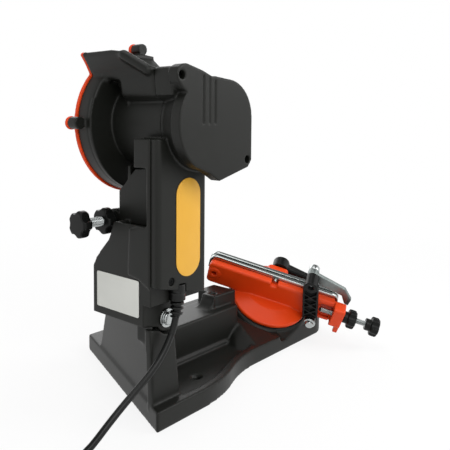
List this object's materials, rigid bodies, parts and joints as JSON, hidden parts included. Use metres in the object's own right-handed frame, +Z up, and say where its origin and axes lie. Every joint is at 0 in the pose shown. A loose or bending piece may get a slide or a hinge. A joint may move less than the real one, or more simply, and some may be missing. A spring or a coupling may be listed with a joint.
{
  "type": "bench saw chain sharpener",
  "caption": "Electric bench saw-chain sharpener: a tilting motor head with guarded grinding disc over a swivelling chain vise with pawl stop, on a moulded bench base with cord.",
  "frame": {"origin": "midway between the two bench holes, on the bench surface", "axes": "+Z up, operator at -Y, wheel guard at +X and motor cap at -X"},
  "size_m": [0.2916, 0.4951, 0.3055],
  "materials": {
    "charcoal_plastic": "fine moulded grain, satin",
    "orange_plastic": "satin moulded",
    "black_plastic": "satin",
    "zinc_steel": "zinc plated",
    "black_steel": "black oxide",
    "yellow_film": "blank printed film",
    "grey_film": "blank film",
    "core_steel": "laminated core",
    "flange_aluminium": "turned",
    "abrasive": "vitrified grain",
    "pawl_steel": "sintered grey",
    "cord_rubber": "matte",
    "pin_brass": "plated"
  },
  "bodies": {
    "base": {"base_moulding": "charcoal_plastic", "hinge_bolt": "zinc_steel", "hinge_nut": "zinc_steel", "cord_run": "cord_rubber", "cord_coil": "cord_rubber", "plug_body": "cord_rubber", "plug_pins": "pin_brass"},
    "head": {"guard_side_shell": "charcoal_plastic", "motor_side_shell": "charcoal_plastic", "guard_cover": "orange_plastic", "guard_screws": "zinc_steel", "housing_screws": "black_steel", "neck_label": "yellow_film", "rating_plate": "grey_film", "switch_bezel": "black_plastic", "motor_stator": "core_steel", "shaft_bearings": "zinc_steel", "strain_relief": "cord_rubber"},
    "rocker": {"switch_rocker": "black_plastic"},
    "arbor": {"motor_rotor": "core_steel", "cooling_fan": "black_plastic", "arbor_shaft": "zinc_steel", "inner_flange": "flange_aluminium", "grinding_disc": "abrasive", "outer_flange": "flange_aluminium", "arbor_nut": "zinc_steel"},
    "depth_rod": {"depth_screw": "zinc_steel"},
    "depth_grip": {"depth_knob": "black_plastic"},
    "depth_jam": {"depth_lock": "black_plastic"},
    "vise": {"vise_body": "orange_plastic", "fixed_jaw": "zinc_steel", "clamp_bolt": "zinc_steel", "stop_pivot": "zinc_steel", "swivel_bolt": "zinc_steel"},
    "jaw": {"moving_jaw": "zinc_steel"},
    "lever": {"clamp_lever": "black_plastic"},
    "arm": {"stop_arm": "black_plastic", "stop_pin": "zinc_steel"},
    "pawl": {"stop_pawl": "pawl_steel"},
    "adjuster_rod": {"adjuster_screw": "zinc_steel"},
    "adjuster_grip": {"adjuster_knob": "black_plastic"},
    "adjuster_jam": {"adjuster_lock": "black_plastic"},
    "swivel_grip": {"swivel_knob": "black_plastic"}
  },
  "joints": [
    {"name": "head_tilt", "type": "hinge", "parent": "base", "child": "head", "pos_m": [0, 0.0535, 0.082], "axis": [1, 0, 0], "range_deg": [0, 62], "stiffness_Nm_per_rad": 3, "springref_deg": -28.65, "deforming": ["cord_run"]},
    {"name": "disc_spin", "type": "hinge", "parent": "head", "child": "arbor", "pos_m": [0, 0.0315, 0.2365], "axis": [1, 0, 0], "continuous": true},
    {"name": "switch_rock", "type": "hinge", "parent": "head", "child": "rocker", "pos_m": [-0.06, 0.026, 0.1647], "axis": [1, 0, 0], "range_deg": [-18, 0]},
    {"name": "depth_travel", "type": "slide", "parent": "head", "child": "depth_rod", "axis": [0, 1, 0], "range_m": [0, 0.01]},
    {"name": "depth_turn", "type": "hinge", "parent": "depth_rod", "child": "depth_grip", "pos_m": [-0.021, 0.096, 0.157], "axis": [0, 1, 0], "range_deg": [0, 2880]},
    {"name": "depth_lock_turn", "type": "hinge", "parent": "head", "child": "depth_jam", "pos_m": [-0.021, 0.07, 0.157], "axis": [0, 1, 0], "range_deg": [0, 90]},
    {"name": "vise_swivel", "type": "hinge", "parent": "base", "child": "vise", "pos_m": [-0.0235, -0.153, 0.043], "axis": [-0.4769, 0.3006, 0.826], "range_deg": [-38, 4]},
    {"name": "clamp_turn", "type": "hinge", "parent": "vise", "child": "lever", "pos_m": [-0.02881, -0.16576, 0.07484], "axis": [0.3428, -0.8017, 0.4897], "range_deg": [-66, 6]},
    {"name": "jaw_slide", "type": "slide", "parent": "vise", "child": "jaw", "axis": [0.3428, -0.8017, 0.4897], "range_m": [0, 0.001]},
    {"name": "arm_swing", "type": "hinge", "parent": "vise", "child": "arm", "pos_m": [-0.07043, -0.16217, 0.02408], "axis": [0.3428, -0.8017, 0.4897], "range_deg": [-7.6, 7.6]},
    {"name": "pawl_flip", "type": "hinge", "parent": "arm", "child": "pawl", "pos_m": [-0.07839, -0.15537, 0.07755], "axis": [0.3428, -0.8017, 0.4897], "range_deg": [-70, 0]},
    {"name": "adjuster_travel", "type": "slide", "parent": "vise", "child": "adjuster_rod", "axis": [-0.8094, -0.5166, -0.2792], "range_m": [-0.0025, 0.0025]},
    {"name": "adjuster_turn", "type": "hinge", "parent": "adjuster_rod", "child": "adjuster_grip", "pos_m": [-0.11245, -0.18056, 0.02952], "axis": [-0.8094, -0.5166, -0.2792], "range_deg": [-900, 900]},
    {"name": "adjuster_lock_turn", "type": "hinge", "parent": "vise", "child": "adjuster_jam", "pos_m": [-0.10841, -0.17798, 0.03092], "axis": [-0.8094, -0.5166, -0.2792], "range_deg": [0, 90]},
    {"name": "swivel_lock_turn", "type": "hinge", "parent": "vise", "child": "swivel_grip", "pos_m": [-0.01396, -0.15901, 0.02648], "axis": [-0.4769, 0.3006, 0.826], "range_deg": [0, 90]}
  ],
  "couplings": [
    {"joint": "depth_turn", "follows": "depth_travel", "rad_per_m": 5026.5},
    {"joint": "clamp_turn", "follows": "jaw_slide", "rad_per_m": -1047.2},
    {"joint": "adjuster_turn", "follows": "adjuster_travel", "rad_per_m": 6283.2},
    {"joint": "arm_swing", "follows": "adjuster_travel", "rad_per_m": 52.632}
  ]
}
